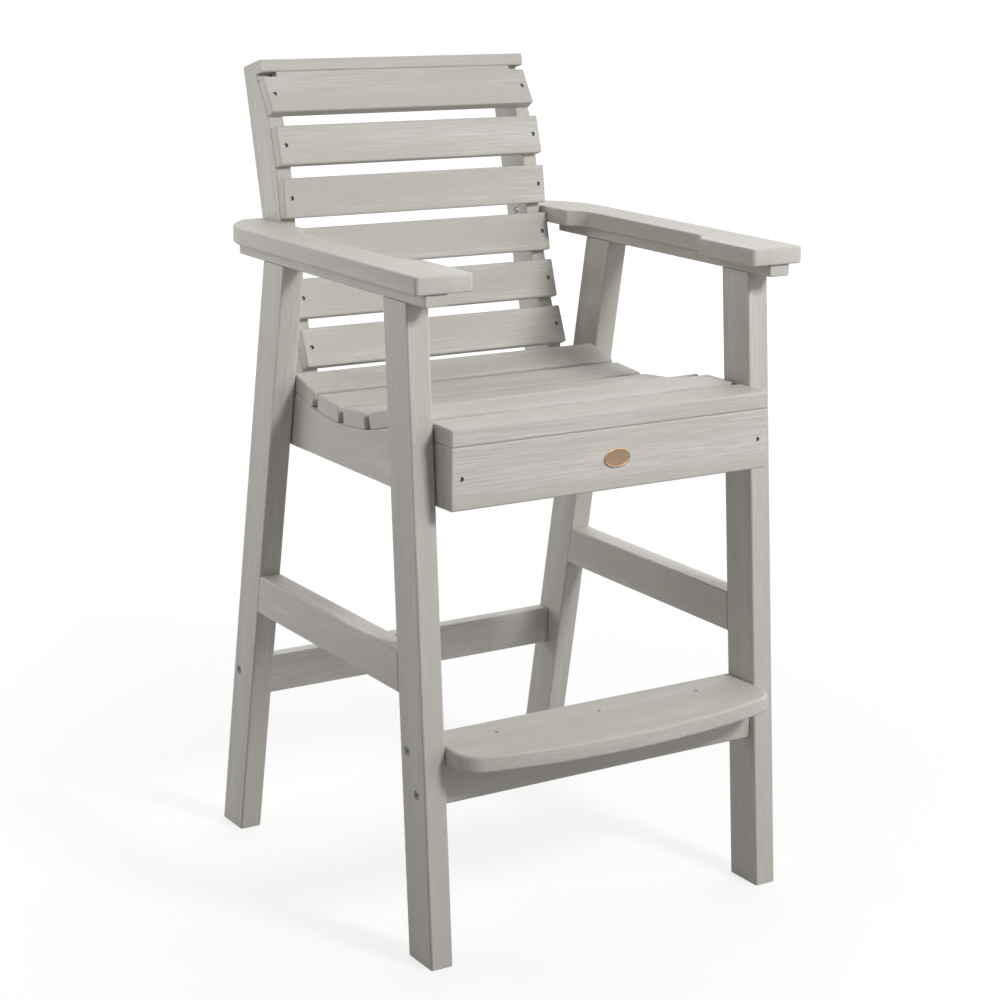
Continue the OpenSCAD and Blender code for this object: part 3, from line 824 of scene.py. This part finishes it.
links.new(lines.outputs["Fac"], tint.inputs["Fac"])
links.new(tint.outputs["Color"], shader.inputs["Base Color"])
links.new(lines.outputs["Fac"], rub.inputs["Value"])
links.new(rub.outputs["Result"], shader.inputs["Roughness"])

plate = fitted(bm, "oval_plate", copper)
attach(plate, "root")

# Floor: a plain sheet of pale paper under the chair, which turns white away from it and
# keeps its shadow.
floor_half = 60

bm = bmesh.new()
bmesh.ops.create_grid(bm, x_segments=1, y_segments=1, size=floor_half)
mesh = bpy.data.meshes.new("floor")
bm.to_mesh(mesh)
bm.free()
floor = bpy.data.objects.new("floor", mesh)
bpy.context.scene.collection.objects.link(floor)
paper = bpy.data.materials.new("floor_paper")
paper.use_nodes = True
nodes, links = paper.node_tree.nodes, paper.node_tree.links
grey = nodes["Principled BSDF"]
grey.inputs["Base Color"].default_value = (0.40, 0.40, 0.40, 1)
pale = nodes.new("ShaderNodeBsdfPrincipled")
pale.inputs["Base Color"].default_value = (0.25, 0.25, 0.25, 1)
pale.inputs["Emission Color"].default_value = (1, 1, 1, 1)
place = nodes.new("ShaderNodeTexCoord")
away = nodes.new("ShaderNodeVectorMath")
away.operation = "LENGTH"
glow = nodes.new("ShaderNodeMapRange")
for socket, value in (("From Min", 0.6), ("From Max", 3.5), ("To Min", 0.74), ("To Max", 0.92)):
    glow.inputs[socket].default_value = value
links.new(place.outputs["Object"], away.inputs[0])
links.new(away.outputs["Value"], glow.inputs["Value"])
links.new(glow.outputs["Result"], pale.inputs["Emission Strength"])
for shader in (grey, pale):
    shader.inputs["Roughness"].default_value = 0.9
    shader.inputs["Specular IOR Level"].default_value = 0.1
ray = nodes.new("ShaderNodeLightPath")
either = nodes.new("ShaderNodeMixShader")
links.new(ray.outputs["Is Camera Ray"], either.inputs["Fac"])
links.new(grey.outputs["BSDF"], either.inputs[1])
links.new(pale.outputs["BSDF"], either.inputs[2])
links.new(either.outputs["Shader"], nodes["Material Output"].inputs["Surface"])
mesh.materials.append(paper)

# Light: a soft box in front and a little to the right, weak ones at the left and the rear
# left, a low soft light from the right and the wide one of a white backdrop, in a dim even
# surround.
chair_middle = Vector((0, 0, 0.7))

for name, place, width, power in (("key", (0.8, -2.6, 2.4), 0.6, 58.5),
                                  ("left", (-1.3, 0.3, 1.6), 1.0, 5),
                                  ("rear", (-1.6, 1.6, 0.8), 1.2, 14)):
    lamp = bpy.data.lights.new(name, "AREA")
    lamp.size = width
    lamp.energy = power
    box = bpy.data.objects.new(name, lamp)
    box.location = place
    box.rotation_euler = (Vector(place) - chair_middle).to_track_quat("Z", "Y").to_euler()
    bpy.context.scene.collection.objects.link(box)
for name, toward, spread, power in (("backdrop", (0.7, 0.7, 0.3), 110, 2.6),
                                    ("low", (0.683, -0.683, 0.259), 30, 0.53)):
    lamp = bpy.data.lights.new(name, "SUN")
    lamp.energy = power
    lamp.angle = radians(spread)
    sky = bpy.data.objects.new(name, lamp)
    sky.rotation_euler = Vector(toward).to_track_quat("Z", "Y").to_euler()
    bpy.context.scene.collection.objects.link(sky)

world = bpy.data.worlds.new("surround")
world.use_nodes = True
bpy.context.scene.world = world
nodes, links = world.node_tree.nodes, world.node_tree.links
ambient = nodes["Background"]
ambient.inputs["Color"].default_value = (1.0, 1.0, 1.0, 1)
ambient.inputs["Strength"].default_value = 0.125
white = nodes.new("ShaderNodeBackground")
white.inputs["Color"].default_value = (1, 1, 1, 1)
white.inputs["Strength"].default_value = 1.0
ray = nodes.new("ShaderNodeLightPath")
seen = nodes.new("ShaderNodeMath")
seen.operation = "MAXIMUM"
links.new(ray.outputs["Is Camera Ray"], seen.inputs[0])
links.new(ray.outputs["Is Glossy Ray"], seen.inputs[1])
seen_through = nodes.new("ShaderNodeMath")
seen_through.operation = "MAXIMUM"
links.new(seen.outputs["Value"], seen_through.inputs[0])
links.new(ray.outputs["Is Transmission Ray"], seen_through.inputs[1])
mixed = nodes.new("ShaderNodeMixShader")
links.new(seen_through.outputs["Value"], mixed.inputs["Fac"])
links.new(ambient.outputs["Background"], mixed.inputs[1])
links.new(white.outputs["Background"], mixed.inputs[2])
links.new(mixed.outputs["Shader"], nodes["World Output"].inputs["Surface"])

# Camera: a long lens at the viewing angle of the photograph, in front and to the left, above
# the arms.
lens = bpy.data.cameras.new("camera")
lens.lens = 83.804
lens.sensor_width = 36
camera = bpy.data.objects.new("camera", lens)
right = Vector((0.84375, -0.53651, 0.01541))
above = Vector((0.12116, 0.21837, 0.96832))
behind = Vector((-0.52288, -0.81515, 0.24925))
facing = Matrix((right, above, behind)).transposed().to_4x4()
camera.matrix_world = Matrix.Translation((-1.83465, -2.86272, 1.44140)) @ facing
bpy.context.scene.collection.objects.link(camera)
bpy.context.scene.camera = camera
bpy.context.scene.view_settings.view_transform = "Standard"
